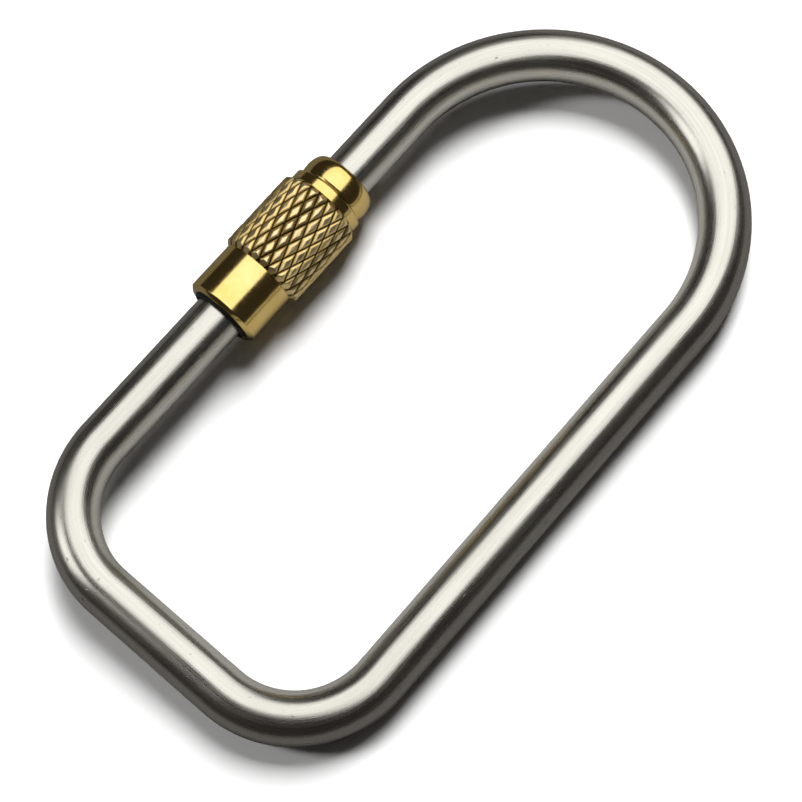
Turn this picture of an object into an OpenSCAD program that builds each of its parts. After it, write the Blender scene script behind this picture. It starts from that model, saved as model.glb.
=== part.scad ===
// Carabiner keyring with a screw gate, in millimetres.
// One bent round wire makes the loop. A turned brass barrel nut bridges the gap in one long side.
// The nut screws off the threaded wire tip and draws back along the wire, which opens the gate.
// The loop lies flat: X runs along it, +X is the round end, and the nut side is +Y.
// The origin is under the middle of the whole keyring, at the height of the nut's lowest point.

/* [Wire loop] */
// Diameter of the wire
wire_d = 4; // [4]
// Length of the loop over the wire
loop_len = 60; // [56:1:80]
// Width of the loop over the wire
loop_w = 31.4; // [29:0.2:34]
// Bend radius at the two square corners, to the middle of the wire
corner_r = 8; // [6:0.5:9]

/* [Barrel nut] */
// Length of the nut
nut_len = 14.4; // [14.4:0.2:15.6]
// How far the middle of the nut sits from the middle of the loop, towards the round end
nut_offset = 0.2; // [-1:0.1:2]
// Diameter over the knurl
knurl_d = 7; // [7:0.1:7.6]
// Length of the knurled band
knurl_len = 7.2; // [6.6:0.2:7.4]
// Number of knurl grooves each way round
knurl_starts = 24; // [18:1:30]
// Depth of the knurl grooves
knurl_depth = 0.2; // [0.16:0.02:0.3]
// Angle of the knurl grooves to the nut's axis
knurl_angle = 24; // [22:1:30]
// Diameter of the plain end
plain_d = 6.2; // [6.2:0.1:6.6]
// Length of the plain end
plain_len = 4.3; // [4.1:0.1:4.5]
// Diameter of the domed end
dome_d = 5.8; // [5.6:0.1:6]
// Length of the plain shoulder between the dome and the knurl
shoulder_len = 0.8; // [0.6:0.1:1]
// Bore that the stop collar slides in
bore_d = 4.95; // [4.9:0.01:5]

/* [Thread] */
// Pitch of the M4 thread
pitch = 0.7; // [0.7]
// Length of the nut's thread
nut_thread = 3.1; // [2.8:0.1:3.2]
// Length of the threaded wire tip
tip_thread = 2.65; // [2.4:0.05:2.7]

/* [Stop and ring] */
// Diameter of the stop collar
collar_d = 4.8; // [4.75:0.01:4.82]
// Length of the stop collar
collar_len = 1.2; // [1:0.1:1.4]
// Inside diameter of the black retaining ring
ring_id = 4.15; // [4.1:0.01:4.2]
// Outside diameter of the black retaining ring
ring_od = 5.36; // [5.3:0.02:5.4]
// Width of the black retaining ring in its groove
ring_w = 0.86; // [0.8:0.02:0.9]
// Outside diameter of the ring's lip, in the nut's mouth
ring_lip_d = 4.8; // [4.7:0.02:4.84]
// How far the ring's lip stands out of the nut's plain face
ring_proud = 0.2; // [0.1:0.05:0.3]

/* [Hidden] */
$fn = 64;

wire_r = wire_d / 2;
bow_r = (loop_w - wire_d) / 2;                  // round end and long sides, to the middle of the wire
axis_z = knurl_d / 2;                           // height of the loop's plane
mid_y = -(axis_z - wire_r) / 2;                 // middle of the loop, off the middle of the whole
nut_y = mid_y + bow_r;
back_y = mid_y - bow_r;
round_x = loop_len / 2 - wire_r - bow_r;        // centre of the round end
end_x = -(loop_len / 2 - wire_r);               // middle of the wire at the square end
corner_x = end_x + corner_r;                    // centres of the two square corners

dome_face = nut_offset + nut_len / 2;           // x of the nut's domed face
plain_face = dome_face - nut_len;               // x of the nut's plain face
dome_len = nut_len - plain_len - knurl_len;
bead_len = dome_len - shoulder_len;             // rounded bead of the domed end
nose_len = 0.6 * bead_len;                      // from the domed face to the bead's widest place
dome_face_r = 2.3;                              // flat left on the nut's domed face
notch_r = dome_d / 2 - 0.25;                    // bottom of the notch between bead and shoulder
edge = 0.15;                                    // small chamfer on turned edges
plain_edge = 0.3;                               // wider chamfer on the nut's plain end
neck_r = axis_z - knurl_depth - 0.25;           // solid metal under the knurl
knurl_edge = 0.3;                               // chamfer at both ends of the knurl

mouth_d = wire_d + 0.12;                        // clearance bore where the wire enters the domed face
mouth_len = 0.4;
thread_end = mouth_len + nut_thread;            // from the domed face to the shoulder of the bore
groove_d = ring_od + 0.1;                       // groove that holds the retaining ring
groove_w = ring_w + 0.1;
lip = 0.35;                                     // brass left outside the groove
ring_front = nut_len - lip - groove_w;          // from the domed face to the near wall of the groove
stop_gap = 0.15;                                // collar to groove when the nut is screwed home
collar_back = ring_front - stop_gap;            // from the domed face to the back of the collar
spigot_d = 3;                                   // turned-down wire end that carries the collar
rivet_len = 0.3;                                // spread end of the spigot
rivet_d = 3.7;

major_r = 1.96;                                 // wire thread, crest
minor_r = 1.6;                                  // wire thread, root
crest_half = 0.05;                              // half of the crest's width along the axis
lead_in = 0.15;                                 // how far the tip's chamfer goes below the root
flank = tan(30);                                // 60 degree thread form
nut_major_r = 2.03;                             // nut thread, root
nut_minor_r = 1.7;                              // nut thread, crest
nut_crest_half = 0.06;
turn_steps = 36;                                // points round one turn of a thread
pitch_steps = 8;                                // points along one pitch of a thread
lap = 0.2;                                      // how far joined solids run into each other

// Puts a shape that is drawn along +Z from the nut's domed face into place along the wire
module along_nut() {
    translate([dome_face, nut_y, axis_z]) rotate([0, -90, 0]) children();
}

// A round bar from one x to another on one long side of the loop
module side_bar(x0, x1, y, r = wire_r) {
    translate([x0, y, axis_z]) rotate([0, 90, 0]) cylinder(h = x1 - x0, r = r);
}

// Quarter or half bend of the wire in the loop's plane, from one angle through another
module bend(centre, radius, start, sweep) {
    translate([centre.x, centre.y, axis_z])
        rotate([0, 0, start])
            rotate_extrude(angle = sweep, $fn = 128) translate([radius, 0]) circle(r = wire_r, $fn = 48);
}

// Distance along the axis from a point to the middle of the nearest turn of a right-hand helix
function helix_off(z, angle, phase) =
    let (t = z / pitch - angle / 360 - phase) abs(t - round(t)) * pitch;

// Closed solid through a list of rings of points. With diamonds, every other square is split
// along its other diagonal, so that a chequered height field becomes four-sided pyramids.
module skin(rings, diamonds = false) {
    n = len(rings[0]);
    rows = len(rings);
    points = [for (ring = rings) each ring];
    sides = [for (i = [0:rows - 2], j = [0:n - 1])
        let (a = i * n + j, b = i * n + (j + 1) % n)
            each (diamonds && (i + j) % 2 == 0)
                ? [[a, a + n, b + n], [a, b + n, b]]
                : [[a, a + n, b], [b, a + n, b + n]]];
    bottom = [[for (j = [0:n - 1]) j]];
    top = [[for (j = [n - 1:-1:0]) (rows - 1) * n + j]];
    polyhedron(points = points, faces = concat(sides, bottom, top), convexity = 10);
}

// Threaded wire tip with a 45 degree lead-in, measured from the nut's domed face
module tip_thread_solid() {
    first = mouth_len - lap;
    last = mouth_len + tip_thread;
    rows = ceil((last - first) / pitch * pitch_steps);
    skin([for (i = [0:rows]) let (z = first + (last - first) * i / rows)
        [for (j = [0:turn_steps - 1])
            let (angle = j * 360 / turn_steps,
                 off = helix_off(z, angle, 0),
                 ridge = max(minor_r, major_r - max(0, off - crest_half) / flank),
                 r = min(ridge, minor_r - lead_in + last - z))
                [r * cos(angle), r * sin(angle), z]]]);
}

// The space that a tap leaves in the nut, half a pitch away from the tip's ridge
module nut_thread_space() {
    first = mouth_len - lap;
    last = thread_end + lap;
    rows = ceil((last - first) / pitch * pitch_steps);
    skin([for (i = [0:rows]) let (z = first + (last - first) * i / rows)
        [for (j = [0:turn_steps - 1])
            let (angle = j * 360 / turn_steps,
                 off = helix_off(z, angle, 0.5),
                 r = min(nut_major_r, nut_minor_r + max(0, off - nut_crest_half) / flank))
                [r * cos(angle), r * sin(angle), z]]]);
}

// Diamond knurl: rows of pyramids, each row half a pitch round from the last
module knurl_band(z0) {
    around = 2 * knurl_starts;
    row_want = PI * knurl_d / knurl_starts / 2 / tan(knurl_angle);
    rows = round((knurl_len - 2 * knurl_edge) / row_want);
    step = (knurl_len - 2 * knurl_edge) / rows;
    r_out = knurl_d / 2;
    r_in = r_out - knurl_depth;
    r_end = r_in - 0.05;
    function knurl_ring(r, z) =
        [for (j = [0:around - 1]) let (a = j * 360 / around) [r * cos(a), r * sin(a), z]];
    body = [for (i = [0:rows]) [for (j = [0:around - 1])
        let (a = j * 360 / around, r = (i + j) % 2 == 0 ? r_out : r_in)
            [r * cos(a), r * sin(a), z0 + knurl_edge + i * step]]];
    skin(concat([knurl_ring(r_end, z0)], body, [knurl_ring(r_end, z0 + knurl_len)]), diamonds = true);
}

module wire_bow() {
    shoulder_x = dome_face - mouth_len;         // the full wire stops here and the thread begins
    collar_x = dome_face - collar_back;         // the full wire stops here and the spigot begins
    spigot_len = collar_len + rivet_len;
    color([0.78, 0.77, 0.74]) union() {
        side_bar(shoulder_x, round_x, nut_y);
        bend([round_x, mid_y], bow_r, -90, 180);
        side_bar(corner_x, round_x, back_y);
        bend([corner_x, back_y + corner_r], corner_r, 180, 90);
        translate([end_x, back_y + corner_r, axis_z])
            rotate([-90, 0, 0]) cylinder(h = 2 * (bow_r - corner_r), r = wire_r);
        bend([corner_x, nut_y - corner_r], corner_r, 90, 90);
        side_bar(corner_x, collar_x, nut_y);
        side_bar(collar_x - lap, collar_x + spigot_len, nut_y, spigot_d / 2);
        translate([collar_x + collar_len, nut_y, axis_z])
            rotate([0, 90, 0]) cylinder(h = rivet_len, r1 = rivet_d / 2, r2 = spigot_d / 2);
        along_nut() tip_thread_solid();
    }
}

module stop_collar() {
    color([0.62, 0.61, 0.59]) along_nut() translate([0, 0, collar_back - collar_len])
        rotate_extrude() polygon([
            [spigot_d / 2, 0],
            [collar_d / 2 - edge, 0],
            [collar_d / 2, edge],
            [collar_d / 2, collar_len - edge],
            [collar_d / 2 - edge, collar_len],
            [spigot_d / 2, collar_len]
        ]);
}

// Snap ring with a lip that closes the nut's mouth round the wire
module retaining_ring() {
    bevel = 0.1;
    ring_z = ring_front + (groove_w - ring_w) / 2;
    ring_len = nut_len + ring_proud - ring_z;
    color([0.03, 0.03, 0.03]) along_nut() translate([0, 0, ring_z])
        rotate_extrude() polygon([
            [ring_id / 2, bevel],
            [ring_id / 2 + bevel, 0],
            [ring_od / 2 - bevel, 0],
            [ring_od / 2, bevel],
            [ring_od / 2, ring_w],
            [ring_lip_d / 2, ring_w],
            [ring_lip_d / 2, ring_len - bevel],
            [ring_lip_d / 2 - bevel, ring_len],
            [ring_id / 2 + bevel, ring_len],
            [ring_id / 2, ring_len - bevel]
        ]);
}

module barrel_nut() {
    arc_steps = 6;
    knurl_z = dome_len;
    plain_z = dome_len + knurl_len;
    dome_r = dome_d / 2;
    plain_r = plain_d / 2;
    nose = [for (i = [0:arc_steps]) let (a = 90 * i / arc_steps)
        [dome_face_r + (dome_r - dome_face_r) * sin(a), nose_len * (1 - cos(a))]];
    bead_back = [for (i = [1:arc_steps]) let (a = 90 * i / arc_steps)
        [notch_r + (dome_r - notch_r) * cos(a), nose_len + (bead_len - nose_len) * sin(a)]];
    turned = concat([[0, 0]], nose, bead_back, [
        [plain_r - edge, bead_len],
        [plain_r, bead_len + edge],
        [plain_r, knurl_z + lap],
        [neck_r, knurl_z + lap],
        [neck_r, plain_z - lap],
        [plain_r, plain_z - lap],
        [plain_r, nut_len - plain_edge],
        [plain_r - plain_edge, nut_len],
        [0, nut_len]
    ]);
    color([0.86, 0.66, 0.24]) along_nut() difference() {
        union() {
            rotate_extrude() polygon(turned);
            knurl_band(knurl_z);
        }
        translate([0, 0, -1]) cylinder(h = 1 + mouth_len, d = mouth_d);
        nut_thread_space();
        translate([0, 0, thread_end]) cylinder(h = nut_len, d = bore_d);
        translate([0, 0, ring_front]) cylinder(h = groove_w, d = groove_d);
    }
}

wire_bow();
stop_collar();
retaining_ring();
barrel_nut();
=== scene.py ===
"""Looks for the carabiner keyring: drawn steel wire, turned and knurled brass nut, black ring.

The wire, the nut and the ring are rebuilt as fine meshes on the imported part's own sizes, because
their threads and knurl are coarse there. Everything is in metres, in the part's own frame: the loop
lies flat in XY, its round end at +X and its nut side at +Y.
"""
from math import asin, cos, pi, radians, sin, tan

import bpy
import numpy as np
from mathutils import Matrix, Vector


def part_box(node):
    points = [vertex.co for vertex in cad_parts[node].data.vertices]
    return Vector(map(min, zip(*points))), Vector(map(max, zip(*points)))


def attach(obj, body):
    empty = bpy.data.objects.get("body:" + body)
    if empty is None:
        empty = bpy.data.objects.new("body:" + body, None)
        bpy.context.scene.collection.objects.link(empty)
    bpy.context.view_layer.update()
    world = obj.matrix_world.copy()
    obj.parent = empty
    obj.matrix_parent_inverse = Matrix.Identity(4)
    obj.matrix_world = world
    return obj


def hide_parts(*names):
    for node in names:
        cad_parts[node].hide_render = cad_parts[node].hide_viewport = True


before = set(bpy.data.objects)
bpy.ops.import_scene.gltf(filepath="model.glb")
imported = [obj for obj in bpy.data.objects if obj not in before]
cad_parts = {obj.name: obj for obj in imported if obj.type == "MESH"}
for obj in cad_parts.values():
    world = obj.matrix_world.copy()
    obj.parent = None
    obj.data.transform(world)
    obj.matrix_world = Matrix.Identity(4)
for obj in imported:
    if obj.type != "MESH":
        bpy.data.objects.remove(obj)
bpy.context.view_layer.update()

# ---------------------------------------------------------------------------------------------
# Sizes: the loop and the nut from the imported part, details and staging as named values
# ---------------------------------------------------------------------------------------------
MM = 0.001
wire_low, wire_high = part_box("wire_bow")
nut_low, nut_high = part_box("barrel_nut")
ring_low, ring_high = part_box("retaining_ring")

WIRE_R = (wire_high.z - wire_low.z) / 2
BOW_R = (wire_high.y - wire_low.y) / 2 - WIRE_R      # round end, to the middle of the wire
CORNER_R = 8 * MM                                    # square corners, to the middle of the wire
MID_Y = (wire_high.y + wire_low.y) / 2
BACK_Y = MID_Y - BOW_R
AXIS_Y = MID_Y + BOW_R                               # the nut's axis
AXIS_Z = (nut_low.z + nut_high.z) / 2
ROUND_X = wire_high.x - WIRE_R - BOW_R               # centre of the round end
END_X = wire_low.x + WIRE_R                          # middle of the wire at the square end
CORNER_X = END_X + CORNER_R

DOME_FACE = nut_high.x                               # the nut's domed end faces +X
NUT_LEN = nut_high.x - nut_low.x
KNURL_R = (nut_high.z - nut_low.z) / 2
KNURL_LEN = 7.2 * MM
KNURL_STARTS = 24
KNURL_ROWS = 6                                       # half diamonds along the band
KNURL_DEPTH = 0.2 * MM
KNURL_EDGE = 0.3 * MM                                # from the band's ends to its first and last row
KNURL_BEVEL = 0.42 * MM                              # chamfer on the band's two ends
CREST_ROUND = 2.1                                    # over 1, the crests are round and the grooves sharp
CREST_WEAR = 0.25                                    # most that a crest is worn, as a share of its height
WORN_CRESTS = np.random.default_rng(4).random((KNURL_STARTS, KNURL_STARTS))  # each one's share of that
PLAIN_R = 3.1 * MM
PLAIN_LEN = 4.3 * MM
PLAIN_EDGE = 0.3 * MM                                # chamfer on the plain end
PLAIN_CORNER = 0.06 * MM                             # rounding on that chamfer's two corners
DOME_LEN = NUT_LEN - KNURL_LEN - PLAIN_LEN
DOME_R = 2.9 * MM
DOME_FLAT_R = 2.3 * MM
SHOULDER_LEN = 0.8 * MM                              # plain shoulder between the bead and the knurl
BEAD_LEN = DOME_LEN - SHOULDER_LEN                   # rounded bead, which ends in a notch
NOSE_LEN = 0.6 * BEAD_LEN                            # from the domed face to the bead's widest place
NOTCH_DEPTH = 0.25 * MM
NOTCH_R = DOME_R - NOTCH_DEPTH
NOTCH_SHADE_RISE = 0.12 * MM                              # how far the painted shade rises out of the notch
MOUTH_R = 2.06 * MM                                  # hole in the domed end, round the full wire
MOUTH_LEN = 0.4 * MM
BORE_R = 2.475 * MM                                  # wide bore from the plain end
THREAD_END = MOUTH_LEN + 3.1 * MM
LIP = 0.35 * MM                                      # between the plain face and the ring's groove
GROOVE_R = 2.73 * MM
GROOVE_W = 0.96 * MM
RING_BORE_R = 2.075 * MM
RING_LIP_R = 2.4 * MM
RING_W = 0.86 * MM
RING_EDGE = 0.12 * MM                                # rounding on the ring's front and back
EDGE = 0.12 * MM                                     # rounding on turned edges
STEP = 0.02 * MM                                     # length of a step that only looks square

PITCH = 0.7 * MM
TIP_THREAD = 2.65 * MM
TIP_MAJOR = 1.96 * MM
TIP_MINOR = 1.6 * MM
NUT_MAJOR = 2.03 * MM
NUT_MINOR = 1.7 * MM
CREST_HALF = 0.05 * MM                               # half the width of a thread's crest
FLANK = tan(radians(30))
TIP_LEAD = 0.15 * MM                                 # chamfer on the threaded tip
SPIGOT_R = 1.5 * MM
COLLAR_BACK = 12.94 * MM                             # from the domed face
SPIGOT_LEN = 1.5 * MM
WIRE_EDGE = 0.06 * MM                                # chamfer where the full wire starts and ends

WIRE_SIDES = 96
NUT_SIDES = 384
RING_SIDES = 128

TABLE_HALF = 2.5                                     # metres from the table's middle to its edge
LIT_REACH = 0.25                                     # metres from the middle, where its glow starts
MIRROR_GAP = 0.02 * MM                               # between the table and the one that metal mirrors
LIGHT_AWAY = 0.9                                     # metres from the keyring to the lights

VIEW_AZIMUTH = -37.4                                 # the camera's place round the keyring, degrees
VIEW_ELEVATION = 71.9
VIEW_ROLL = 12.25
VIEW_AWAY = 155.8 * MM
VIEW_LENS = 94.7
VIEW_TARGET = Vector((-3.44 * MM, MID_Y - 1.24 * MM, AXIS_Z))


# ---------------------------------------------------------------------------------------------
# Mesh helpers
# ---------------------------------------------------------------------------------------------
def skin(name, rings, closed_loop, material, sharp=35, **attributes):
    """A closed mesh through rings of points, an array of rows x columns x 3. A closed loop joins its
    last ring to its first; otherwise both ends get a cap. Attributes are arrays of rows x columns."""
    rows, columns = rings.shape[:2]
    index = np.arange(rows * columns).reshape(rows, columns)
    upper = np.roll(index, -1, axis=0) if closed_loop else index[1:]
    lower = index if closed_loop else index[:-1]
    quads = np.stack([lower, upper, np.roll(upper, -1, axis=1), np.roll(lower, -1, axis=1)], axis=-1)
    faces = quads.reshape(-1, 4).tolist()
    if not closed_loop:
        faces += [index[0].tolist(), index[-1][::-1].tolist()]
    mesh = bpy.data.meshes.new(name)
    mesh.from_pydata(rings.reshape(-1, 3).tolist(), [], faces)
    for key, values in attributes.items():
        kind = "FLOAT_VECTOR" if values.ndim == 3 else "FLOAT"
        layer = mesh.attributes.new(key, kind, "POINT")
        layer.data.foreach_set("vector" if kind == "FLOAT_VECTOR" else "value", values.ravel())
    mesh.materials.append(material)
    mesh.polygons.foreach_set("use_smooth", [True] * len(mesh.polygons))
    mesh.set_sharp_from_angle(angle=radians(sharp))
    mesh.update()
    piece = bpy.data.objects.new(name, mesh)
    bpy.context.scene.collection.objects.link(piece)
    return piece


def thread_offset(along, angle, phase):
    """Distance along the axis from each point to the nearest turn of a right-hand helix."""
    turns = along / PITCH - angle / (2 * pi) - phase
    return np.abs(turns - np.round(turns)) * PITCH


def turned_rings(profile, sides):
    """Rings round the nut's axis from rows that start with (distance from the domed face, radius).
    A radius may be one number or one per side."""
    angle = np.arange(sides) * 2 * pi / sides
    along = np.array([row[0] for row in profile])[:, None] * np.ones(sides)
    radius = np.array([row[1] * np.ones(sides) for row in profile])
    return np.stack([DOME_FACE - along,
                     AXIS_Y + radius * np.sin(angle),
                     AXIS_Z + radius * np.cos(angle)], axis=-1)


def arc_rows(centre_along, centre_r, radius_along, radius_r, start, end, steps):
    """Profile rows along an elliptical arc, angles in degrees from the axial direction."""
    return [(centre_along + radius_along * cos(radians(a)), centre_r + radius_r * sin(radians(a)))
            for a in np.linspace(start, end, steps + 1)]


# ---------------------------------------------------------------------------------------------
# Materials
# ---------------------------------------------------------------------------------------------
class Shader:
    """A material whose nodes are added one line each. Inputs are values or other nodes' outputs. They
    go by name, or by place as i0, i1 and so on."""

    def __init__(self, name):
        self.material = bpy.data.materials.new(name)
        self.material.use_nodes = True
        self.tree = self.material.node_tree
        self.surface = self.tree.nodes["Principled BSDF"]

    def node(self, kind, settings=None, **inputs):
        made = self.tree.nodes.new(kind)
        for key, value in (settings or {}).items():
            setattr(made, key, value)
        for key, value in inputs.items():
            self.put(made.inputs[int(key[1:]) if key[0] == "i" and key[1:].isdigit() else key], value)
        return made

    def put(self, socket, value):
        if isinstance(value, bpy.types.NodeSocket):
            self.tree.links.new(value, socket)
        else:
            socket.default_value = value

    def attribute(self, name):
        return self.node("ShaderNodeAttribute", {"attribute_name": name})

    def stretched(self, vector, scale):
        return self.node("ShaderNodeVectorMath", {"operation": "MULTIPLY"}, i0=vector, i1=scale).outputs[0]

    def length(self, vector):
        return self.node("ShaderNodeVectorMath", {"operation": "LENGTH"}, i0=vector).outputs["Value"]

    def noise(self, vector, detail=3.0, rough=0.6):
        made = self.node("ShaderNodeTexNoise", Vector=vector, Scale=1.0, Detail=detail, Roughness=rough)
        return made.outputs["Fac"]

    def ramp(self, value, low, high, to_low=0.0, to_high=1.0):
        made = self.node("ShaderNodeMapRange", Value=value, i1=low, i2=high, i3=to_low, i4=to_high)
        return made.outputs[0]

    def mix(self, factor, first, second):
        made = self.node("ShaderNodeMix", {"data_type": "RGBA"}, Factor=factor)
        self.put(made.inputs[6], first)
        self.put(made.inputs[7], second)
        return made.outputs[2]

    def math(self, operation, first, second):
        return self.node("ShaderNodeMath", {"operation": operation}, i0=first, i1=second).outputs[0]

    def bump(self, height, depth, strength=1.0, under=None):
        made = self.node("ShaderNodeBump", Height=height, Distance=depth, Strength=strength)
        if under is not None:
            self.put(made.inputs["Normal"], under)
        return made.outputs["Normal"]

    def finish(self, **inputs):
        for key, value in inputs.items():
            self.put(self.surface.inputs[key.replace("_", " ")], value)
        return self.material


def drawn_steel():
    """Stainless wire: fine lengthwise draw lines, faint smudges and a few pits."""
    s = Shader("drawn_steel")
    grain = s.attribute("grain").outputs["Vector"]
    lines = s.noise(s.stretched(grain, (70, 5200, 5200)), 4.0, 0.65)
    smudge = s.noise(s.stretched(grain, (160, 420, 420)), 2.0)
    pits = s.ramp(s.noise(s.stretched(grain, (1500, 2600, 2600)), 2.0), 0.70, 0.78)
    colour = s.mix(s.ramp(lines, 0.3, 0.7), (0.58, 0.565, 0.51, 1), (0.74, 0.72, 0.65, 1))
    colour = s.mix(pits, colour, (0.30, 0.285, 0.265, 1))
    rough = s.math("ADD", s.ramp(lines, 0.25, 0.75, 0.20, 0.30), s.ramp(smudge, 0.35, 0.7, 0.0, 0.06))
    relief = s.bump(lines, 0.006 * MM)
    relief = s.bump(s.ramp(pits, 0, 1, 1, 0), 0.01 * MM, under=relief)
    return s.finish(Base_Color=colour, Metallic=1.0, Roughness=rough, Normal=relief)


def turned_brass():
    """Polished brass with lathe lines round it. The knurl's crests are paler and duller towards their
    tops.
    Its grooves and the notch by the bead get painted shade, near black."""
    s = Shader("turned_brass")
    place = s.attribute("turned").outputs["Vector"]
    height = s.attribute("crest").outputs["Fac"]
    worn = s.attribute("worn").outputs["Fac"]
    lathe = s.noise(s.stretched(place, (7000, 60, 60)), 3.0, 0.7)
    cloud = s.noise(s.stretched(place, (500, 500, 500)), 3.0)
    colour = s.mix(s.ramp(cloud, 0.35, 0.7), (0.86, 0.61, 0.19, 1), (0.91, 0.69, 0.28, 1))
    # Paler and duller towards the tops of the knurl's crests.
    colour = s.mix(s.ramp(worn, 0.4, 0.95), colour, (0.96, 0.77, 0.43, 1))
    # Painted shade: near black where the crest attribute is low, in the knurl's grooves and the notch.
    colour = s.mix(s.ramp(height, 0.15, 0.5), (0.02, 0.01, 0.005, 1), colour)
    rough = s.math("ADD", s.ramp(lathe, 0.3, 0.7, 0.12, 0.2), s.ramp(worn, 0.0, 0.1, 0.0, 0.22))
    relief = s.bump(lathe, 0.004 * MM)
    relief = s.bump(cloud, 0.008 * MM, under=relief)
    return s.finish(Base_Color=colour, Metallic=1.0, Roughness=rough, Normal=relief)


def black_polymer():
    """Matt black ring with a slight moulded grain."""
    s = Shader("black_polymer")
    place = s.attribute("turned").outputs["Vector"]
    grain = s.noise(s.stretched(place, (6000, 6000, 6000)), 3.0)
    colour = s.mix(grain, (0.004, 0.004, 0.005, 1), (0.014, 0.013, 0.013, 1))
    rough = s.ramp(grain, 0.3, 0.7, 0.45, 0.6)
    relief = s.bump(grain, 0.01 * MM)
    return s.finish(Base_Color=colour, Roughness=rough, Specular_IOR_Level=0.25, Normal=relief)


def collar_steel():
    """Turned steel collar inside the nut."""
    s = Shader("collar_steel")
    place = s.node("ShaderNodeTexCoord").outputs["Object"]
    lathe = s.noise(s.stretched(place, (7000, 60, 60)), 3.0, 0.7)
    colour = s.mix(lathe, (0.42, 0.41, 0.40, 1), (0.62, 0.61, 0.59, 1))
    rough = s.ramp(lathe, 0.3, 0.7, 0.25, 0.4)
    relief = s.bump(lathe, 0.006 * MM)
    return s.finish(Base_Color=colour, Metallic=1.0, Roughness=rough, Normal=relief)


def bright_table():
    """Plain white table, a little uneven in tone. It glows past the reach of the lights, so that it
    stays pale to the horizon."""
    s = Shader("bright_table")
    place = s.node("ShaderNodeTexCoord").outputs["Object"]
    fibre = s.noise(s.stretched(place, (300, 300, 300)), 2.0)
    colour = s.mix(fibre, (0.86, 0.86, 0.86, 1), (0.88, 0.88, 0.88, 1))
    glow = s.ramp(s.length(place), LIT_REACH, 4 * LIT_REACH, 0.0, 0.9)
    return s.finish(Base_Color=colour, Roughness=0.6, Emission_Color=colour, Emission_Strength=glow)


def grey_table():
    """A painted reflection of the table, for the metal to mirror: mid grey inside the loop and darker
    outside it.
    """
    s = Shader("grey_table")
    place = s.node("ShaderNodeTexCoord").outputs["Object"]
    middle = (0, MID_Y - AXIS_Y, 0)
    half_size = (30 * MM, 16 * MM)
    from_middle = s.node("ShaderNodeVectorMath", {"operation": "SUBTRACT"}, i0=place, i1=middle)
    share = s.stretched(from_middle.outputs[0], (1 / half_size[0], 1 / half_size[1], 0))
    reach = s.length(share)
    colour = s.mix(s.ramp(reach, 0.75, 1.15), (0.27, 0.265, 0.26, 1), (0.085, 0.082, 0.08, 1))
    return s.finish(Base_Color=colour, Roughness=0.8)


# ---------------------------------------------------------------------------------------------
# Wire
# ---------------------------------------------------------------------------------------------
def wire_stations():
    """The bent wire's middle line from the shoulder of its threaded tip round to its spigot, as rows
    of (x, y, heading in degrees, distance along)."""
    stations = []
    travelled = 0.0

    def straight(start, end, heading, steps):
        nonlocal travelled
        length = (Vector(end) - Vector(start)).length
        for share in np.linspace(0, 1, steps + 1):
            x, y = Vector(start).lerp(Vector(end), share)
            stations.append((x, y, heading, travelled + share * length))
        travelled += length

    def bend(centre, radius, first, steps, turn):
        nonlocal travelled
        for share in np.linspace(0, 1, steps + 1)[1:-1]:
            angle = first - share * turn
            stations.append((centre[0] + radius * cos(radians(angle)),
                             centre[1] + radius * sin(radians(angle)),
                             angle - 90, travelled + share * radians(turn) * radius))
        travelled += radians(turn) * radius

    straight((DOME_FACE - MOUTH_LEN, AXIS_Y), (ROUND_X, AXIS_Y), 0, 6)
    bend((ROUND_X, MID_Y), BOW_R, 90, 120, 180)
    straight((ROUND_X, BACK_Y), (CORNER_X, BACK_Y), -180, 16)
    bend((CORNER_X, BACK_Y + CORNER_R), CORNER_R, -90, 45, 90)
    straight((END_X, BACK_Y + CORNER_R), (END_X, AXIS_Y - CORNER_R), -270, 8)
    bend((CORNER_X, AXIS_Y - CORNER_R), CORNER_R, -180, 45, 90)
    straight((CORNER_X, AXIS_Y), (DOME_FACE - COLLAR_BACK, AXIS_Y), -360, 6)
    return stations


def wire_ring(x, y, heading, radius, angle):
    """One ring of points square to the wire."""
    side = Vector((-sin(radians(heading)), cos(radians(heading))))
    return np.stack([x + side.x * radius * np.cos(angle),
                     y + side.y * radius * np.cos(angle),
                     AXIS_Z + radius * np.sin(angle)], axis=-1)


def build_wire(material):
    angle = np.arange(WIRE_SIDES) * 2 * pi / WIRE_SIDES
    rows = []

    def add(x, y, heading, radius, travelled):
        radius = radius * np.ones(WIRE_SIDES)
        travelled = travelled * np.ones(WIRE_SIDES)
        grain = np.stack([travelled, radius * np.cos(angle), radius * np.sin(angle)], axis=-1)
        rows.append((wire_ring(x, y, heading, radius, angle), grain))

    # threaded tip, from its end to the full wire
    tip_steps = 64
    for along in np.linspace(MOUTH_LEN + TIP_THREAD, MOUTH_LEN + STEP, tip_steps):
        offset = thread_offset(along, pi / 2 - angle, 0)
        ridge = np.maximum(TIP_MINOR, TIP_MAJOR - np.maximum(0, offset - CREST_HALF) / FLANK)
        lead_in = TIP_MINOR - TIP_LEAD + MOUTH_LEN + TIP_THREAD - along
        add(DOME_FACE - along, AXIS_Y, 0, np.minimum(ridge, lead_in), -along)
    stations = wire_stations()
    shoulder = stations[0]
    add(shoulder[0], shoulder[1], 0, WIRE_R - WIRE_EDGE, 0)
    add(shoulder[0] + WIRE_EDGE, shoulder[1], 0, WIRE_R, 0)
    for x, y, heading, travelled in stations[1:-1]:
        add(x, y, heading, WIRE_R, travelled)
    end = stations[-1]
    add(end[0] - WIRE_EDGE, end[1], 0, WIRE_R, end[3])
    add(end[0], end[1], 0, WIRE_R - WIRE_EDGE, end[3])
    add(end[0], end[1], 0, SPIGOT_R, end[3])
    add(end[0] + SPIGOT_LEN, end[1], 0, SPIGOT_R, end[3] + SPIGOT_LEN)
    rings = np.array([row[0] for row in rows])
    grain = np.array([row[1] for row in rows])
    return skin("wire", rings, False, material, grain=grain)


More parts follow.
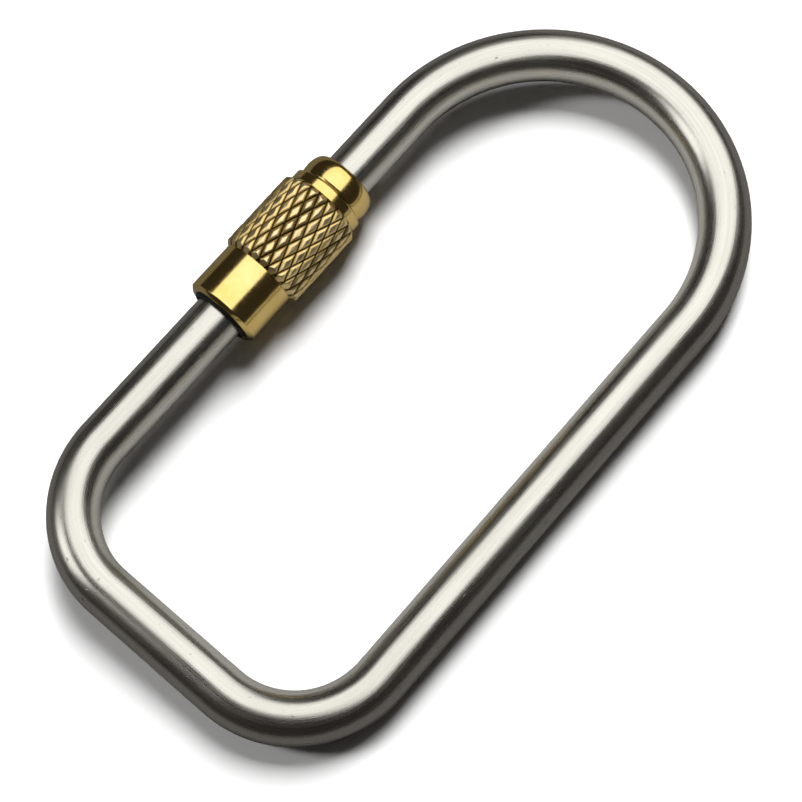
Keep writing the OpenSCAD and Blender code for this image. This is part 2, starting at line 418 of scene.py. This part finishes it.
# ---------------------------------------------------------------------------------------------
# Nut and ring
# ---------------------------------------------------------------------------------------------
def knurl_height(along, angle):
    """Height of the diamond knurl, from 0 in its sharp grooves to 1 on a rounded crest. Each crest is
    worn flat by its own amount."""
    diamond = 2 * (KNURL_LEN - 2 * KNURL_EDGE) / KNURL_ROWS
    round_part = KNURL_STARTS * angle / (2 * pi)
    along_part = (along - DOME_LEN - KNURL_EDGE) / diamond
    left = round_part + along_part
    right = round_part - along_part
    from_groove = 2 * np.minimum(np.abs(left % 1 - 0.5), np.abs(right % 1 - 0.5))
    rounded = 1 - (1 - from_groove) ** CREST_ROUND
    left_start = np.round(left).astype(int) % KNURL_STARTS
    right_start = np.round(right).astype(int) % KNURL_STARTS
    return np.minimum(rounded, 1 - CREST_WEAR * WORN_CRESTS[left_start, right_start])


def nut_profile(angle):
    """Rows of (distance from the domed face, radius, crest) once round the nut's section. Where the crest
    is low, the brass gets painted shade.
    """
    rows = [(0, MOUTH_R + EDGE / 2, 1), (0, DOME_FLAT_R, 1)]
    rows += [(NOSE_LEN - a, r, 1) for a, r in
             arc_rows(0, DOME_FLAT_R, NOSE_LEN, DOME_R - DOME_FLAT_R, 0, 90, 14)[1:]]
    # Crest values under 1 towards the notch, and in it, paint shade there.
    rows += [(NOSE_LEN + a, r, min(1, (r - NOTCH_R) / NOTCH_SHADE_RISE)) for a, r in
             arc_rows(0, NOTCH_R, BEAD_LEN - NOSE_LEN, DOME_R - NOTCH_R, 90, 8, 16)[1:]]
    rows += [(BEAD_LEN, NOTCH_R, 0), (BEAD_LEN + STEP / 2, PLAIN_R - EDGE, 0.3)]
    rows += [(BEAD_LEN + EDGE - a, r, 1) for a, r in
             arc_rows(0, PLAIN_R - EDGE, EDGE, EDGE, 0, 90, 6)[1:]]
    rows.append((DOME_LEN - STEP, PLAIN_R, 1))
    knurl_steps = 100
    for share in np.linspace(0, 1, knurl_steps + 1):
        along = DOME_LEN + share * KNURL_LEN
        from_end = min(share, 1 - share) * KNURL_LEN
        # The knurl's height is also its crest, so its grooves get painted shade.
        height = knurl_height(along, angle)
        radius = KNURL_R - KNURL_DEPTH * (1 - height)
        chamfer = KNURL_R - KNURL_BEVEL + from_end
        rows.append((along, np.minimum(radius, chamfer), height))
    plain = DOME_LEN + KNURL_LEN
    corner = PLAIN_CORNER
    setback = corner * tan(radians(22.5))
    rows += [(plain + STEP, PLAIN_R, 1), (NUT_LEN - PLAIN_EDGE - 5 * STEP, PLAIN_R, 1)]
    rows += [(a, r, 1) for a, r in
             arc_rows(NUT_LEN - PLAIN_EDGE - setback, PLAIN_R - corner, corner, corner, 90, 45, 3)]
    rows += [(a, r, 1) for a, r in
             arc_rows(NUT_LEN - corner, PLAIN_R - PLAIN_EDGE - setback, corner, corner, 45, 0, 3)]
    rows += [(NUT_LEN - EDGE / 2 + a, r, 1) for a, r in
             arc_rows(0, BORE_R + EDGE / 2, EDGE / 2, -EDGE / 2, 0, 90, 4)]
    groove_end = NUT_LEN - LIP
    groove_start = groove_end - GROOVE_W
    rows += [(groove_end, BORE_R, 1), (groove_end, GROOVE_R, 1), (groove_start, GROOVE_R, 1),
             (groove_start, BORE_R, 1), (THREAD_END, BORE_R, 1)]
    thread_steps = 48
    for along in np.linspace(THREAD_END, MOUTH_LEN, thread_steps):
        offset = thread_offset(along, angle, 0.5)
        groove = np.minimum(NUT_MAJOR, NUT_MINOR + np.maximum(0, offset - CREST_HALF) / FLANK)
        rows.append((along, groove, 1))
    rows += [(MOUTH_LEN, MOUTH_R, 1), (EDGE / 2, MOUTH_R, 1)]
    return rows


def build_nut(material):
    """The nut. Its crest attribute is 0 where shade is painted, and worn is above 0 on the knurl only."""
    angle = np.arange(NUT_SIDES) * 2 * pi / NUT_SIDES
    profile = nut_profile(angle)
    rings = turned_rings(profile, NUT_SIDES)
    crest = np.array([row[2] * np.ones(NUT_SIDES) for row in profile])
    along = np.array([row[0] for row in profile])[:, None]
    worn = crest * ((along > DOME_LEN) & (along < DOME_LEN + KNURL_LEN))
    turned = rings - np.array([DOME_FACE, AXIS_Y, AXIS_Z])
    return skin("knurled_nut", rings, True, material, turned=turned, crest=crest, worn=worn)


def build_ring(material):
    """The black ring: a snap ring in the nut's groove, with a lip that stands out of its mouth."""
    outer = (ring_high.z - ring_low.z) / 2
    front = DOME_FACE - ring_high.x
    back = DOME_FACE - ring_low.x
    edge = RING_EDGE
    corners = [(back - edge, RING_LIP_R - edge, 0), (back - edge, RING_BORE_R + edge, -90),
               (front + edge, RING_BORE_R + edge, -180), (front + edge, outer - edge, -270)]
    profile = []
    for along, radius, start in corners:
        profile += arc_rows(along, radius, edge, edge, start + 90, start, 6)
    profile += [(front + RING_W, outer), (front + RING_W, RING_LIP_R)]
    rings = turned_rings(profile, RING_SIDES)
    turned = rings - np.array([DOME_FACE, AXIS_Y, AXIS_Z])
    return skin("black_ring", rings, True, material, turned=turned)


# ---------------------------------------------------------------------------------------------
# Studio
# ---------------------------------------------------------------------------------------------
def build_floor(name, material, above, in_reflections):
    """The keyring stands on the nut and on the back of the loop, so the table is tilted to touch both.
    A bright table is for the camera and the light. Reflections see a greyer one just above it, so
    that the metal keeps its dark edges."""
    drop = asin((KNURL_R - WIRE_R) / (AXIS_Y - BACK_Y))
    up = Vector((0, sin(drop), cos(drop)))
    under_nut = Vector((0, AXIS_Y, AXIS_Z)) - up * (KNURL_R - above)
    signs = [(-1, -1), (1, -1), (1, 1), (-1, 1)]
    mesh = bpy.data.meshes.new(name)
    mesh.from_pydata([(x * TABLE_HALF, y * TABLE_HALF, 0) for x, y in signs], [], [(0, 1, 2, 3)])
    mesh.materials.append(material)
    floor = bpy.data.objects.new(name, mesh)
    bpy.context.scene.collection.objects.link(floor)
    floor.location = under_nut
    floor.rotation_euler = (-drop, 0, 0)
    floor.visible_glossy = in_reflections
    floor.visible_camera = not in_reflections
    floor.visible_diffuse = not in_reflections
    floor.visible_shadow = not in_reflections


def aim(thing, place, target, up=Vector((0, 0, 1))):
    """Points a camera or light at a target, with its own Y axis towards up."""
    back = (place - target).normalized()
    right = up.cross(back).normalized()
    turn = Matrix((right, back.cross(right), back)).transposed()
    thing.matrix_world = Matrix.Translation(place) @ turn.to_4x4()


def direction(azimuth, elevation):
    """Unit vector towards a place round the keyring: azimuth 0 is at -Y, 90 at +X."""
    a, e = radians(azimuth), radians(elevation)
    return Vector((sin(a) * cos(e), -cos(a) * cos(e), sin(e)))


def build_camera():
    """The camera, at the photograph's viewing angle and roll, with the whole keyring in the frame."""
    camera = bpy.data.objects.new("camera", bpy.data.cameras.new("camera"))
    bpy.context.scene.collection.objects.link(camera)
    camera.data.lens = VIEW_LENS
    camera.data.sensor_width = 36
    camera.data.clip_start = 0.005
    camera.data.clip_end = 20
    back = direction(VIEW_AZIMUTH, VIEW_ELEVATION)
    level_right = Vector((0, 0, 1)).cross(back).normalized()
    level_up = back.cross(level_right)
    roll = radians(VIEW_ROLL)
    up = level_up * cos(roll) + level_right * sin(roll)
    aim(camera, VIEW_TARGET + back * VIEW_AWAY, VIEW_TARGET, up)
    bpy.context.scene.camera = camera


def softbox(name, place, target, size, power, on_metal, up=Vector((0, 0, 1))):
    """An area light. Metal does not mirror the strong lights that throw the shadows on the table. It
    mirrors dim panels in their place, which look wider, so that its grain shows in its highlights."""
    data = bpy.data.lights.new(name, "AREA")
    data.shape = "RECTANGLE"
    data.size, data.size_y = size
    data.energy = power
    light = bpy.data.objects.new(name, data)
    bpy.context.scene.collection.objects.link(light)
    light.visible_glossy = on_metal
    light.visible_diffuse = not on_metal
    aim(light, place, target, up)


def build_lights():
    middle = Vector((0, 0, 0))
    softbox("key", direction(119, 53) * LIGHT_AWAY, middle, (0.42, 0.6), 15, False)
    softbox("side", direction(215, 40) * LIGHT_AWAY, middle, (0.15, 0.35), 3, False)
    over = Vector((0.18, 0.033, 0.18))
    softbox("key_panel", over, Vector((over.x, over.y, 0)), (0.44, 0.26), 0.5, True, Vector((0, 1, 0)))
    softbox("side_panel", direction(222, 38) * LIGHT_AWAY, middle, (0.36, 0.5), 0.95, True)


def build_world():
    """Pale to look at, but dark in reflections and as a light, so that the metal keeps its dark bands."""
    world = bpy.data.worlds.new("studio")
    bpy.context.scene.world = world
    world.use_nodes = True
    nodes, links = world.node_tree.nodes, world.node_tree.links
    seen = nodes["Background"]
    seen.inputs["Color"].default_value = (0.86, 0.86, 0.87, 1)
    reflected = nodes.new("ShaderNodeBackground")
    reflected.inputs["Color"].default_value = (0.026, 0.0235, 0.021, 1)
    rays = nodes.new("ShaderNodeLightPath")
    mixed = nodes.new("ShaderNodeMixShader")
    links.new(rays.outputs["Is Camera Ray"], mixed.inputs["Fac"])
    links.new(reflected.outputs["Background"], mixed.inputs[1])
    links.new(seen.outputs["Background"], mixed.inputs[2])
    links.new(mixed.outputs["Shader"], nodes["World Output"].inputs["Surface"])


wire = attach(build_wire(drawn_steel()), "bow")
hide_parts("wire_bow")

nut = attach(build_nut(turned_brass()), "nut")
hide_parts("barrel_nut")

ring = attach(build_ring(black_polymer()), "nut_carrier")
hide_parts("retaining_ring")

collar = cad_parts["stop_collar"]
collar.data.materials.clear()
collar.data.materials.append(collar_steel())

build_floor("table_top", bright_table(), 0, False)
build_floor("reflected_table", grey_table(), MIRROR_GAP, True)
build_camera()
build_lights()
build_world()
bpy.context.scene.view_settings.view_transform = "Standard"
